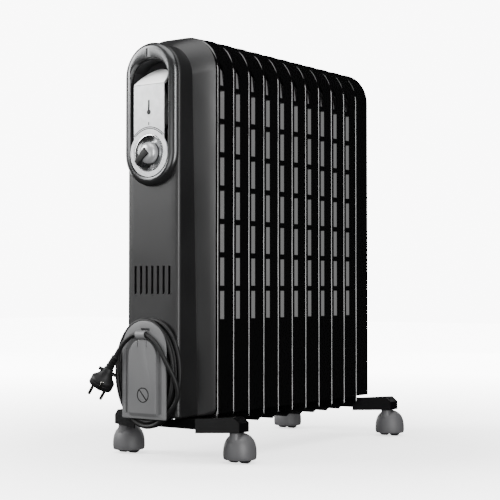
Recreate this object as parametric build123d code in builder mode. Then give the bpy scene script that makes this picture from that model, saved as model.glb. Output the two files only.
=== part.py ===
"""Oil-filled column radiator on four swivel casters.

Millimetres, +Z up. X runs along the radiator, with the control end at -X. Y runs across it.
The origin is on the floor, at the middle of the radiator's footprint.
"""
from build123d import *
import os
from math import cos, hypot, pi, radians, sin, tan

os.makedirs("parts", exist_ok=True)

# Driving dimensions of the column of fins
FIN_COUNT = 11
FIN_PITCH = 40.0
FIN_1_X = -196.55           # front plane of the first fin
TOP_Z = 640.0
FLANGE_BOTTOM_Z = 71.5      # the side flanges stop here
PLATE_BOTTOM_Z = 51.5       # the flat webs reach down to here
FIN_HALF_WIDTH = 76.0
FIN_CORNER_R = 55.0
WEB_CORNER = 12.0
SHEET = 1.2
FLANGE_DEPTH = 36.5
FLANGE_FLARE_DEG = 2.0      # the flange opens slightly towards its rear edge
BEND_R = 3.2

# Oil channels and collectors pressed into each fin
CHANNEL_RISE = 4.0
CHANNEL_WIDTH = 17.0
CHANNEL_YS = (-33.0, -11.0, 11.0, 33.0)
LOWER_HUB_Z = 112.0
UPPER_HUB_Z = 572.0
HUB_R = 23.0
HUB_PAD_R = 44.0
CHANNEL_WALL = 1.0

# Louvre windows beside the front bend
LOUVRE_COUNT = 7
LOUVRE_PITCH = 50.2
LOUVRE_HEIGHT = 42.0
LOUVRE_BOTTOM_Z = 212.4
LOUVRE_FRONT = 6.0          # behind the front plane of the fin
LOUVRE_REAR = 16.0
LOUVRE_REACH = 6.5          # how far the bent tab leans in
TOP_LOUVRE_Z = LOUVRE_BOTTOM_Z + LOUVRE_COUNT * LOUVRE_PITCH

# Front cover: an arched box that flares out to the fins' outline
FACE_X = FIN_1_X - 61.0
RIM_X = FIN_1_X - 5.0
BOX_HALF_WIDTH = 50.0
BOX_TOP_Z = 626.0
BOX_BOTTOM_Z = 67.0
RIM_BOTTOM_Z = 70.0
CREASE_X_AT_FLOOR = FIN_1_X - 13.0
CREASE_LEAN = 14.0 / 520.0
COVER_WALL = 2.0
FACE_EDGE_R = 3.5
VENT_COUNT = 7
VENT_PITCH = 10.9
VENT_WIDTH = 4.4
VENT_HEIGHT = 44.0
VENT_MID_Z = 270.0

# Control panel
BEZEL_FRONT_X = FACE_X - 9.2
BEZEL_BOTTOM_Z = 411.0
OPENING_HALF_WIDTH = 36.6
OPENING_SHOULDER_Z = 584.0
OPENING_TOP_Z = 600.7
DIAL_Z = 460.0
DISH_R = 28.0
PLATE_R = 35.6
PLATE_HALF_WIDTH = 29.0
PLATE_TOP_Z = 562.0
TONGUE_RISE = 27.0
TONGUE_RUN = 31.0
POCKET_BOTTOM_Z = 500.0
POCKET_REAR_X = FACE_X + 27.0
KNOB_R = 16.0
SHAFT_R = 3.0

# Cord wrap on the lower front
WRAP_BACK_X = FACE_X - 16.5
WRAP_FLANGE_X = FACE_X - 19.5
WRAP_PANEL_X = FACE_X - 23.5
WRAP_HALF_WIDTH = 42.0
WRAP_BOTTOM_Z = 66.0
WRAP_TOP_Z = 210.6
PANEL_HALF_WIDTH = 27.0
PANEL_BOTTOM_Z = 74.0
PANEL_TOP_Z = 184.0
SPOOL_HALF_WIDTH = 34.0
SPOOL_BOTTOM_Z = 78.0
SPOOL_TOP_Z = 203.0
SPOOL_WALL = 2.0

# Cord
CORD_D = 7.0
COIL_FRONT_X = FACE_X - 15.5
COIL_BACK_X = FACE_X - 1.0

# Feet and casters
FOOT_WIDTH = 25.0
FOOT_MIDDLE_TOP_Z = 65.4
FOOT_END_TOP_Z = 69.0
FOOT_END_CHAMFER = 8.5
FOOT_MIDDLE_BOTTOM_Z = 50.0
FOOT_ROOT_BOTTOM_Z = 44.5
FOOT_END_BOTTOM_Z = 46.5
FOOT_ROOT_Y = 59.0
FOOT_END_Y = 121.0
FOOT_SWEEP = 20.0           # the arms run back by this much at the casters
FOOT_WALL = 1.6
CASTER_Y = 108.4
FRONT_CASTER_X = FIN_1_X
REAR_CASTER_X = FIN_1_X + 447.0
CASTER_TRAIL = 12.0
STEM_R = 5.0
HOOD_R = 25.3
HOOD_MID_Z = 20.0
HOOD_BOTTOM_Z = 5.6
HOOD_WALL = 1.9
COLLAR_R = 8.5
COLLAR_TOP_Z = 45.6
WHEEL_R = 15.0
WHEEL_INNER_Y = 4.6
WHEEL_OUTER_Y = 15.2
AXLE_R = 2.0

FIN_XS = [FIN_1_X + FIN_PITCH * index for index in range(FIN_COUNT)]
LAST_FIN_X = FIN_XS[-1]


def save(piece, name):
    """Label a finished piece and write it as one STEP file."""
    piece.part.label = name
    export_step(piece.part, f"parts/{name}.step")


def arch_face(half_width, top, bottom, radius):
    """A face with square lower corners and round upper ones, in a sketch of the YZ kind."""
    Rectangle(2 * half_width, top - bottom, align=(Align.CENTER, Align.MIN))
    fillet(vertices().group_by(Axis.Y)[-1], radius)


def stadium_face(half_width, top, bottom):
    """An upright stadium, in a sketch of the YZ kind."""
    SlotOverall(top - bottom, 2 * half_width, rotation=90)


def panel_opening_face(inset, bottom):
    """The opening of the control panel: straight sides under a flat arch."""
    side = OPENING_HALF_WIDTH - inset
    shoulder = OPENING_SHOULDER_Z - inset
    with BuildLine() as outline:
        Polyline((-side, shoulder), (-side, bottom), (side, bottom), (side, shoulder))
        ThreePointArc((side, shoulder), (0, OPENING_TOP_Z - inset), (-side, shoulder))
    make_face(outline.edges())


# ---------------------------------------------------------------- fins

def fin(x, louvred, stub_length):
    """One pressed fin: web, swept-back flange, oil channels, collector tubes and louvres."""
    web_rear = x + SHEET
    with BuildPart() as piece:
        with BuildSketch(Plane.YZ.offset(x)):
            with Locations((0, PLATE_BOTTOM_Z)):
                Rectangle(2 * FIN_HALF_WIDTH, TOP_Z - PLATE_BOTTOM_Z, align=(Align.CENTER, Align.MIN))
            fillet(vertices().group_by(Axis.Y)[-1], FIN_CORNER_R)
            chamfer(vertices().group_by(Axis.Y)[0], WEB_CORNER)
        extrude(amount=FLANGE_DEPTH, taper=-FLANGE_FLARE_DEG)
        front_rim = faces().sort_by(Axis.X)[0].outer_wire().edges()
        fillet(front_rim.filter_by(lambda edge: edge.center().Z > FLANGE_BOTTOM_Z), BEND_R)
        with BuildSketch(Plane.YZ.offset(web_rear)):
            with Locations((0, 0)):
                Rectangle(2 * (FIN_HALF_WIDTH - SHEET), TOP_Z - SHEET, align=(Align.CENTER, Align.MIN))
            fillet(vertices().group_by(Axis.Y)[-1], FIN_CORNER_R - SHEET)
        extrude(amount=FLANGE_DEPTH, taper=-FLANGE_FLARE_DEG, mode=Mode.SUBTRACT)
        with Locations((web_rear, 0, 0)):
            Box(2 * FLANGE_DEPTH, 4 * FIN_HALF_WIDTH, FLANGE_BOTTOM_Z,
                align=(Align.MIN, Align.CENTER, Align.MIN), mode=Mode.SUBTRACT)
        if louvred:
            for side in (-1, 1):
                wall_y = side * FIN_HALF_WIDTH
                with BuildSketch(Plane.XZ.offset(-wall_y)):
                    for index in range(LOUVRE_COUNT):
                        low = LOUVRE_BOTTOM_Z + index * LOUVRE_PITCH
                        with Locations((x + LOUVRE_FRONT, low)):
                            Rectangle(LOUVRE_REAR - LOUVRE_FRONT, LOUVRE_HEIGHT, align=(Align.MIN, Align.MIN))
                    with BuildLine():
                        Polyline((x + LOUVRE_FRONT, TOP_LOUVRE_Z), (x + LOUVRE_REAR, TOP_LOUVRE_Z),
                                 (x + LOUVRE_REAR, TOP_LOUVRE_Z + 18), (x + LOUVRE_FRONT, TOP_LOUVRE_Z + 36),
                                 close=True)
                    make_face()
                extrude(amount=12, both=True, mode=Mode.SUBTRACT)
                for index in range(LOUVRE_COUNT):
                    low = LOUVRE_BOTTOM_Z + index * LOUVRE_PITCH
                    with BuildSketch(Plane.XY.offset(low)):
                        with BuildLine():
                            Polyline((x + LOUVRE_REAR, wall_y), (x + LOUVRE_FRONT + 1.5, wall_y - side * LOUVRE_REACH),
                                     (x + LOUVRE_FRONT + 2.3, wall_y - side * (LOUVRE_REACH + 0.9)),
                                     (x + LOUVRE_REAR + 0.8, wall_y - side * 0.9), close=True)
                        make_face()
                    extrude(amount=LOUVRE_HEIGHT)
        for start, rise in ((x, -CHANNEL_RISE), (web_rear, CHANNEL_RISE)):
            with BuildSketch(Plane.YZ.offset(start)):
                channel_face(0)
            extrude(amount=rise)
        hub_end = x + FIN_PITCH - CHANNEL_RISE
        with BuildSketch(Plane.YZ.offset(web_rear)):
            with Locations((0, LOWER_HUB_Z), (0, UPPER_HUB_Z)):
                Circle(HUB_R)
        extrude(amount=hub_end - web_rear)
        if stub_length > 0:
            with BuildSketch(Plane.YZ.offset(x)):
                with Locations((0, LOWER_HUB_Z)):
                    Circle(HUB_R)
            extrude(amount=-stub_length)
        with BuildSketch(Plane.YZ.offset(x - CHANNEL_RISE + CHANNEL_WALL)):
            channel_face(CHANNEL_WALL)
        extrude(amount=2 * CHANNEL_RISE + SHEET - 2 * CHANNEL_WALL, mode=Mode.SUBTRACT)
        with BuildSketch(Plane.YZ.offset(x - CHANNEL_RISE)):
            with Locations((0, LOWER_HUB_Z), (0, UPPER_HUB_Z)):
                Circle(HUB_R - 1.5)
        extrude(amount=FIN_PITCH, mode=Mode.SUBTRACT)
        if stub_length > 0:
            with BuildSketch(Plane.YZ.offset(x - stub_length)):
                with Locations((0, LOWER_HUB_Z)):
                    Circle(HUB_R - 1.5)
            extrude(amount=stub_length, mode=Mode.SUBTRACT)
    return piece


def channel_face(inset):
    """The pressed oil channels: four upright runs that join a round pad at each collector."""
    middle = (LOWER_HUB_Z + UPPER_HUB_Z) / 2
    with Locations([(y, middle) for y in CHANNEL_YS]):
        Rectangle(CHANNEL_WIDTH - 2 * inset, UPPER_HUB_Z - LOWER_HUB_Z)
    with Locations((0, LOWER_HUB_Z), (0, UPPER_HUB_Z)):
        Circle(HUB_PAD_R - inset)


STUB_LENGTH = 32.0
save(fin(FIN_1_X, louvred=True, stub_length=STUB_LENGTH), "fin_01")
save(fin(LAST_FIN_X, louvred=False, stub_length=0), f"fin_{FIN_COUNT}")
middle_fin = fin(0, louvred=True, stub_length=0)
for number, fin_x in list(enumerate(FIN_XS, start=1))[1:-1]:
    with BuildPart(Location((fin_x, 0, 0))) as element:
        add(middle_fin.part)
    save(element, f"fin_{number:02d}")

# ---------------------------------------------------------------- oil circuit

BORE_R = HUB_R - 1.5
hub_end_x = LAST_FIN_X + FIN_PITCH - CHANNEL_RISE

with BuildPart() as collector_plugs:
    for hub_z in (LOWER_HUB_Z, UPPER_HUB_Z):
        with BuildSketch(Plane.YZ.offset(hub_end_x)):
            with Locations((0, hub_z)):
                Circle(HUB_R)
        extrude(amount=2.5)
        with BuildSketch(Plane.YZ.offset(hub_end_x)):
            with Locations((0, hub_z)):
                Circle(BORE_R - 0.1)
        extrude(amount=-5)
    with BuildSketch(Plane.YZ.offset(FIN_1_X - CHANNEL_RISE)):
        with Locations((0, UPPER_HUB_Z)):
            Circle(HUB_R)
    extrude(amount=-2.5)
    with BuildSketch(Plane.YZ.offset(FIN_1_X - CHANNEL_RISE)):
        with Locations((0, UPPER_HUB_Z)):
            Circle(BORE_R - 0.1)
    extrude(amount=5)
    with BuildSketch(Plane.YZ.offset(hub_end_x + 2.5)):
        with Locations((0, UPPER_HUB_Z)):
            RegularPolygon(7.5, 6)
    extrude(amount=-1.5, mode=Mode.SUBTRACT)
save(collector_plugs, "collector_plugs")

with BuildPart() as oil_filler_plug:
    with BuildSketch(Plane.YZ.offset(hub_end_x + 1.0)):
        with Locations((0, UPPER_HUB_Z)):
            RegularPolygon(7.3, 6)
    extrude(amount=5)
    chamfer(faces().sort_by(Axis.X)[-1].edges(), 0.8)
save(oil_filler_plug, "oil_filler_plug")

ELEMENT_FLANGE_X = FIN_1_X - STUB_LENGTH
ELEMENT_LENGTH = 395.0
ROD_R = 4.2
ROD_OFFSET = 9.0

with BuildPart() as element_gasket:
    with BuildSketch(Plane.YZ.offset(ELEMENT_FLANGE_X)):
        with Locations((0, LOWER_HUB_Z)):
            Circle(HUB_R)
            Circle(BORE_R, mode=Mode.SUBTRACT)
    extrude(amount=-1.5)
save(element_gasket, "element_gasket")

with BuildPart() as heating_element:
    with BuildSketch(Plane.YZ.offset(ELEMENT_FLANGE_X - 1.5)):
        with Locations((0, LOWER_HUB_Z)):
            Circle(HUB_R)
    extrude(amount=-3)
    for upper in (-1, 1):
        rod_z = LOWER_HUB_Z + upper * ROD_OFFSET
        with BuildSketch(Plane.YZ.offset(ELEMENT_FLANGE_X - 9)):
            with Locations((-ROD_OFFSET, rod_z), (ROD_OFFSET, rod_z)):
                Circle(ROD_R)
        extrude(amount=ELEMENT_LENGTH)
        turn = Plane(origin=(ELEMENT_FLANGE_X - 9 + ELEMENT_LENGTH, 0, rod_z), z_dir=(0, 0, 1))
        with BuildSketch(Plane.YZ.offset(ELEMENT_FLANGE_X - 9 + ELEMENT_LENGTH)):
            with Locations((ROD_OFFSET, rod_z)):
                Circle(ROD_R)
        revolve(axis=Axis((turn.origin.X, 0, rod_z), (0, 0, 1)), revolution_arc=-180)
save(heating_element, "heating_element")

# ---------------------------------------------------------------- front cover

crease = Plane(origin=(CREASE_X_AT_FLOOR, 0, 0), x_dir=(0, 1, 0), z_dir=(1, 0, CREASE_LEAN))


def cover_sections(inset):
    """The three outlines of the cover, from its face over the crease to the rim."""
    box_radius = BOX_HALF_WIDTH - 0.2 - inset
    box = (BOX_HALF_WIDTH - inset, BOX_TOP_Z - inset, BOX_BOTTOM_Z + inset, box_radius)
    rim = (FIN_HALF_WIDTH - inset, TOP_Z - inset, RIM_BOTTOM_Z + inset, FIN_CORNER_R - inset)
    return ((Plane.YZ.offset(FACE_X + inset), *box), (crease, *box), (Plane.YZ.offset(RIM_X), *rim))


with BuildPart() as front_cover:
    for inset in (0, COVER_WALL):
        for plane, half_width, top, bottom, corner_radius in cover_sections(inset):
            with BuildSketch(plane):
                with Locations((0, bottom)):
                    arch_face(half_width, top - bottom, 0, corner_radius)
        loft(ruled=True, mode=Mode.SUBTRACT if inset else Mode.ADD)
        if inset == 0:
            fillet(faces().sort_by(Axis.X)[0].outer_wire().edges(), FACE_EDGE_R)
    with BuildSketch(Plane.YZ.offset(FACE_X - 1)):
        with Locations((0, VENT_MID_Z)):
            with GridLocations(VENT_PITCH, 0, VENT_COUNT, 1):
                Rectangle(VENT_WIDTH, VENT_HEIGHT)
    extrude(amount=5, mode=Mode.SUBTRACT)
    with BuildSketch(Plane.YZ.offset(FACE_X - 1)):
        panel_opening_face(-1.6, DIAL_Z)
        with Locations((0, DIAL_Z)):
            Circle(DISH_R + 2)
    extrude(amount=5, mode=Mode.SUBTRACT)
    with Locations((FACE_X + 14, -30, BOX_BOTTOM_Z), (FACE_X + 14, 30, BOX_BOTTOM_Z)):
        Cylinder(2.1, 10, mode=Mode.SUBTRACT)
    with Locations((RIM_X, -26, BOX_BOTTOM_Z), (RIM_X, 26, BOX_BOTTOM_Z)):
        Box(30, 12, 10, align=(Align.MAX, Align.CENTER, Align.CENTER), mode=Mode.SUBTRACT)
save(front_cover, "front_cover")

with BuildPart() as cover_screws:
    with Locations((FACE_X + 14, -30, BOX_BOTTOM_Z - 0.1), (FACE_X + 14, 30, BOX_BOTTOM_Z - 0.1)):
        Cylinder(3.6, 2.2, align=(Align.CENTER, Align.CENTER, Align.MAX))
        Cylinder(2.0, 10, align=(Align.CENTER, Align.CENTER, Align.MIN))
save(cover_screws, "cover_screws")

# ---------------------------------------------------------------- control panel

BEZEL_MID_Z = (BOX_TOP_Z + BEZEL_BOTTOM_Z) / 2
bezel_steps = ((0.0, 0.0), (3.5, 1.2), (7.0, 5.0), (9.2, 12.0))    # (forward of the face, inward)

with BuildPart() as handle_bezel:
    for forward, inward in bezel_steps:
        with BuildSketch(Plane.YZ.offset(FACE_X - forward)):
            with Locations((0, BEZEL_MID_Z)):
                stadium_face(BOX_HALF_WIDTH - inward, BOX_TOP_Z - inward, BEZEL_BOTTOM_Z + inward)
    loft()
    with BuildSketch(Plane.YZ.offset(FACE_X + 1)):
        panel_opening_face(0, DIAL_Z)
        with Locations((0, DIAL_Z)):
            Circle(OPENING_HALF_WIDTH)
    extrude(amount=-20, mode=Mode.SUBTRACT)
save(handle_bezel, "handle_bezel")

POCKET_WALL = 1.6
with BuildPart() as handle_pocket:
    with BuildSketch(Plane.YZ.offset(FACE_X)):
        panel_opening_face(-1.3, POCKET_BOTTOM_Z)
    extrude(amount=POCKET_REAR_X - FACE_X)
    with BuildSketch(Plane.YZ.offset(FACE_X)):
        panel_opening_face(0.3, POCKET_BOTTOM_Z + POCKET_WALL)
    extrude(amount=POCKET_REAR_X - FACE_X - POCKET_WALL, mode=Mode.SUBTRACT)
save(handle_pocket, "handle_pocket")

PLATE_X = BEZEL_FRONT_X + 0.4
PLATE_THICKNESS = 2.0
tongue_root = (PLATE_X, 0, PLATE_TOP_Z - 0.4)
tongue_plane = Plane(origin=tongue_root, x_dir=(0, 1, 0), z_dir=(TONGUE_RISE, 0, -TONGUE_RUN))
TONGUE_LENGTH = hypot(TONGUE_RISE, TONGUE_RUN) - 1.0

with BuildPart() as control_plate:
    with BuildSketch(Plane.YZ.offset(PLATE_X)):
        with Locations((0, DIAL_Z)):
            Rectangle(2 * PLATE_HALF_WIDTH, PLATE_TOP_Z - DIAL_Z, align=(Align.CENTER, Align.MIN))
            Circle(PLATE_R)
            Circle(DISH_R + 0.2, mode=Mode.SUBTRACT)
    extrude(amount=PLATE_THICKNESS)
    with BuildSketch(tongue_plane):
        Ellipse(PLATE_HALF_WIDTH, TONGUE_LENGTH)
        with Locations((0, 0)):
            Rectangle(3 * PLATE_HALF_WIDTH, 2 * TONGUE_LENGTH, align=(Align.CENTER, Align.MAX), mode=Mode.SUBTRACT)
    extrude(amount=PLATE_THICKNESS)
save(control_plate, "control_plate")

dish_profile = ((DISH_R, 0.2), (DISH_R - 2, 0.2), (17.5, 3.6), (SHAFT_R + 1.2, 4.2),
                (SHAFT_R + 1.2, 6.2), (DISH_R, 5.6))
with BuildPart() as dial_dish:
    with BuildSketch(Plane.XY.offset(DIAL_Z)):
        with BuildLine():
            Polyline([(PLATE_X + depth, radius) for radius, depth in dish_profile], close=True)
        make_face()
    revolve(axis=Axis((0, 0, DIAL_Z), (1, 0, 0)))
save(dial_dish, "dial_dish")

KNOB_BACK_X = PLATE_X + 3.2
KNOB_FRONT_X = PLATE_X - 9.5
POINTER_ANGLE_DEG = 220.0
with BuildPart() as selector_knob:
    with BuildSketch(Plane.XY.offset(DIAL_Z)):
        with BuildLine():
            Polyline((KNOB_FRONT_X, 0), (KNOB_BACK_X, 0), (KNOB_BACK_X, KNOB_R), (KNOB_BACK_X - 4, KNOB_R))
            ThreePointArc((KNOB_BACK_X - 4, KNOB_R), (KNOB_FRONT_X + 2.4, KNOB_R * 0.72), (KNOB_FRONT_X, 0))
        make_face()
    revolve(axis=Axis((0, 0, DIAL_Z), (1, 0, 0)))
    pointer = Plane(origin=(PLATE_X - 0.6, 0, DIAL_Z), z_dir=(-1, 0, 0),
                    x_dir=(0, -cos(radians(POINTER_ANGLE_DEG)), sin(radians(POINTER_ANGLE_DEG))))
    with BuildSketch(pointer):
        with Locations((-4, 0)):
            Rectangle(30, 11, align=(Align.MIN, Align.CENTER))
        fillet(vertices().group_by(Axis.X)[-1], 3)
    extrude(amount=10.5)
    with BuildSketch(Plane.YZ.offset(KNOB_BACK_X)):
        with Locations((0, DIAL_Z)):
            Circle(SHAFT_R)
    extrude(amount=-8, mode=Mode.SUBTRACT)
save(selector_knob, "selector_knob")

SWITCH_X = FACE_X + 16.0
with BuildPart() as knob_shaft:
    with BuildSketch(Plane.YZ.offset(KNOB_BACK_X - 8)):
        with Locations((0, DIAL_Z)):
            Circle(SHAFT_R)
    extrude(amount=SWITCH_X + 20 - (KNOB_BACK_X - 8))
save(knob_shaft, "knob_shaft")

with BuildPart() as selector_switch:
    with BuildSketch(Plane.YZ.offset(SWITCH_X)):
        with Locations((0, DIAL_Z)):
            Rectangle(34, 34)
            Circle(SHAFT_R + 0.06, mode=Mode.SUBTRACT)
        fillet(vertices().filter_by(lambda vertex: abs(vertex.Y - DIAL_Z) > 10), 3)
    extrude(amount=16)
    with BuildSketch(Plane.YZ.offset(SWITCH_X + 16)):
        with Locations((-12, DIAL_Z - 10), (12, DIAL_Z - 10), (0, DIAL_Z - 13)):
            Rectangle(5, 0.8)
    extrude(amount=7)
save(selector_switch, "selector_switch")

with BuildPart() as thermostat:
    with BuildSketch(Plane.YZ.offset(SWITCH_X + 16.2)):
        with Locations((0, DIAL_Z + 6)):
            Rectangle(20, 26)
            with Locations((0, -6)):
                Circle(SHAFT_R + 0.06, mode=Mode.SUBTRACT)
    extrude(amount=13)
    with BuildSketch(Plane.YZ.offset(SWITCH_X + 22)):
        with Locations((0, DIAL_Z + 26)):
            Rectangle(6, 30)
    extrude(amount=1.2)
save(thermostat, "thermostat")

TERMINAL_X = FACE_X + 14.0
TERMINAL_Z = 222.0
with BuildPart() as terminal_block:
    with Locations((TERMINAL_X, 0, TERMINAL_Z)):
        Box(16, 36, 14)
        with GridLocations(0, 11, 1, 3):
            Cylinder(2.2, 14, mode=Mode.SUBTRACT)
save(terminal_block, "terminal_block")

with BuildPart() as thermal_cutout:
    with BuildSketch(Plane.YZ.offset(FIN_1_X - CHANNEL_RISE)):
        with Locations((0, 200)):
            Rectangle(30, 12)
    extrude(amount=-1.2)
    with BuildSketch(Plane.YZ.offset(FIN_1_X - CHANNEL_RISE - 1.2)):
        with Locations((0, 200)):
            Circle(8.5)
    extrude(amount=-8)
save(thermal_cutout, "thermal_cutout")

WIRE_R = 1.4
wire_routes = (
    # terminal block up to the switch
    ((TERMINAL_X, -11, TERMINAL_Z + 7), (TERMINAL_X, -11, 300), (SWITCH_X + 20, -24, 360),
     (SWITCH_X + 20, -24, 420), (SWITCH_X + 20, -12, DIAL_Z - 17.2)),
    # switch down to the heating element
    ((SWITCH_X + 20, 12, DIAL_Z - 17.2), (SWITCH_X + 20, 24, 420), (SWITCH_X + 22, 30, 300),
     (ELEMENT_FLANGE_X - 16, 30, 170), (ELEMENT_FLANGE_X - 12, 9, LOWER_HUB_Z + ROD_OFFSET)),
    # terminal block down to the heating element
    ((TERMINAL_X, 11, TERMINAL_Z - 7), (TERMINAL_X, 14, 190), (ELEMENT_FLANGE_X - 18, -20, 150),
     (ELEMENT_FLANGE_X - 12, -9, LOWER_HUB_Z + ROD_OFFSET)),
)
with BuildPart() as inner_wiring:
    for route in wire_routes:
        with BuildLine() as wire_line:
            FilletPolyline(*route, radius=7)
        with BuildSketch(Plane(origin=wire_line.line @ 0, z_dir=wire_line.line % 0)):
            Circle(WIRE_R)
        sweep()
save(inner_wiring, "inner_wiring")

# ---------------------------------------------------------------- cord wrap

with BuildPart() as cord_spool:
    with BuildSketch(Plane.YZ.offset(FACE_X)):
        with Locations((0, SPOOL_BOTTOM_Z)):
            arch_face(SPOOL_HALF_WIDTH, SPOOL_TOP_Z - SPOOL_BOTTOM_Z, 0, SPOOL_HALF_WIDTH - 0.2)
    extrude(amount=WRAP_BACK_X - FACE_X)
    with BuildSketch(Plane.YZ.offset(FACE_X)):
        with Locations((0, SPOOL_BOTTOM_Z + SPOOL_WALL)):
            arch_face(SPOOL_HALF_WIDTH - SPOOL_WALL, SPOOL_TOP_Z - SPOOL_BOTTOM_Z - 2 * SPOOL_WALL, 0,
                      SPOOL_HALF_WIDTH - SPOOL_WALL - 0.2)
    extrude(amount=WRAP_BACK_X - FACE_X + SPOOL_WALL, mode=Mode.SUBTRACT)
save(cord_spool, "cord_spool")

with BuildPart() as cord_wrap_plate:
    with BuildSketch(Plane.YZ.offset(WRAP_BACK_X)):
        with Locations((0, WRAP_BOTTOM_Z)):
            arch_face(WRAP_HALF_WIDTH, WRAP_TOP_Z - WRAP_BOTTOM_Z, 0, WRAP_HALF_WIDTH - 0.2)
    extrude(amount=WRAP_FLANGE_X - WRAP_BACK_X)
    with BuildSketch(Plane.YZ.offset(WRAP_FLANGE_X)):
        with Locations((0, PANEL_BOTTOM_Z)):
            arch_face(PANEL_HALF_WIDTH, PANEL_TOP_Z - PANEL_BOTTOM_Z, 0, PANEL_HALF_WIDTH - 0.2)
    extrude(amount=WRAP_PANEL_X - WRAP_FLANGE_X)
    chamfer(faces().sort_by(Axis.X)[0].outer_wire().edges(), 1.2)
    with BuildSketch(Plane.YZ.offset(WRAP_FLANGE_X)):
        with Locations((-3, 197.5)):
            SlotOverall(17, 4)
    extrude(amount=WRAP_BACK_X - WRAP_FLANGE_X, both=True, mode=Mode.SUBTRACT)
save(cord_wrap_plate, "cord_wrap_plate")

CLIP_HALF_WIDTH = 8.5
CLIP_Z = 190.2
CLIP_X = WRAP_FLANGE_X - 4.6
CLIP_R = 6.1
with BuildPart() as cord_clip:
    with BuildSketch(Plane.XZ):
        with Locations((CLIP_X, CLIP_Z)):
            Circle(CLIP_R)
        with Locations((WRAP_FLANGE_X, CLIP_Z)):
            Rectangle(4.6, 2 * CLIP_R, align=(Align.MAX, Align.CENTER))
        with Locations((CLIP_X, CLIP_Z)):
            Circle(CLIP_R - 1.3, mode=Mode.SUBTRACT)
        with Locations((WRAP_FLANGE_X, CLIP_Z)):
            Rectangle(4 * CLIP_R, 4 * CLIP_R, align=(Align.MIN, Align.CENTER), mode=Mode.SUBTRACT)
    extrude(amount=CLIP_HALF_WIDTH, both=True)
save(cord_clip, "cord_clip")

# ---------------------------------------------------------------- cord and plug

with BuildPart() as cord_coil:
    with BuildSketch(Plane.YZ.offset(COIL_BACK_X)):
        with Locations((0, 134.5)):
            RectangleRounded(130, 175, 60)
            RectangleRounded(94, 140, 42, mode=Mode.SUBTRACT)
    extrude(amount=COIL_FRONT_X - COIL_BACK_X)
    fillet(faces().sort_by(Axis.X)[0].outer_wire().edges(), 5)
save(cord_coil, "cord_coil")

GLAND_AXIS = Vector(0, 0.45, -0.89).normalized()
GLAND_ROOT = Vector(FACE_X - 8.2, SPOOL_HALF_WIDTH - 1.5, 152)
GLAND_LENGTH = 31.0
with BuildPart() as cord_gland:
    with BuildSketch(Plane(origin=GLAND_ROOT, x_dir=(1, 0, 0), z_dir=GLAND_AXIS)):
        Circle(6.2)
    with BuildSketch(Plane(origin=GLAND_ROOT + GLAND_AXIS * GLAND_LENGTH, x_dir=(1, 0, 0), z_dir=GLAND_AXIS)):
        Circle(4.2)
    loft()
save(cord_gland, "cord_gland")

cord_x = WRAP_FLANGE_X - 4.3
tail_route = (
    (FACE_X - 9.0, -58.5, 98.0),
    (FACE_X - 14.5, -57.0, 124.0),
    (cord_x, -45.5, 152.0),
    (cord_x - 0.2, -30.0, 176.5),
    (cord_x - 0.3, -11.0, 190.8),
    (cord_x - 0.5, 13.0, 191.3),
    (cord_x - 1.4, 30.0, 181.0),
    (cord_x - 2.6, 41.0, 168.5),
    (cord_x - 3.4, 48.5, 156.5),
)


def cord_radii(route):
    """The largest arc that fits each corner: 0.45 of the shorter run over the tangent of half the turn."""
    points = [Vector(*point) for point in route]
    radii = []
    for before, corner, after in zip(points, points[1:], points[2:]):
        run_in = corner - before
        run_out = after - corner
        half_turn = radians(run_in.get_angle(run_out)) / 2
        radii.append(0.45 * min(run_in.length, run_out.length) / tan(half_turn))
    return radii


tail_radii = cord_radii(tail_route)
with BuildPart() as cord_tail:
    with BuildLine() as tail_line:
        FilletPolyline(*tail_route, radius=tail_radii)
    with BuildSketch(Plane(origin=tail_line.line @ 0, z_dir=tail_line.line % 0)):
        Circle(CORD_D / 2)
    sweep()
save(cord_tail, "cord_tail")
tail_length = sum(edge.length for edge in tail_line.edges())
tail_volume = tail_length * pi * (CORD_D / 2) ** 2
print("cord tail radii", [round(radius, 1) for radius in tail_radii])
print("cord tail length", round(tail_length, 1), "volume over section times length",
      round(cord_tail.part.volume / tail_volume, 4))

PLUG_AXIS = (Vector(*tail_route[-1]) - Vector(*tail_route[-2])).normalized()
PLUG_ACROSS = Vector(0.611, -0.702, -0.368)
PLUG_ACROSS = (PLUG_ACROSS - PLUG_AXIS * PLUG_ACROSS.dot(PLUG_AXIS)).normalized()
plug_root = Vector(*tail_route[-1])
PLUG_LENGTH = 53.0
plug_profile = ((0, 0), (4.6, 0), (6.6, 22), (8.6, 30), (16.5, 38), (18.4, 42), (18.4, PLUG_LENGTH - 1),
                (17.4, PLUG_LENGTH), (0, PLUG_LENGTH))
with BuildPart() as plug_body:
    with BuildSketch(Plane(origin=plug_root, x_dir=PLUG_ACROSS, z_dir=PLUG_ACROSS.cross(PLUG_AXIS))):
        with BuildLine():
            Polyline([(radius, along) for radius, along in plug_profile], close=True)
        make_face()
    revolve(axis=Axis(plug_root, PLUG_AXIS))
    pin_plane = Plane(origin=plug_root + PLUG_AXIS * PLUG_LENGTH, x_dir=PLUG_ACROSS, z_dir=PLUG_AXIS)
    with BuildSketch(pin_plane):
        with Locations((-9.5, 0), (9.5, 0)):
            Circle(2.4)
    extrude(amount=-12, mode=Mode.SUBTRACT)
save(plug_body, "plug_body")

with BuildPart() as plug_pins:
    with BuildSketch(pin_plane.offset(-12)):
        with Locations((-9.5, 0), (9.5, 0)):
            Circle(2.4)
    extrude(amount=12 + 19)
    chamfer(faces().filter_by(GeomType.PLANE).sort_by(Axis.Z)[:2].edges(), 0.8)
save(plug_pins, "plug_pins")

# ---------------------------------------------------------------- feet

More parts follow.
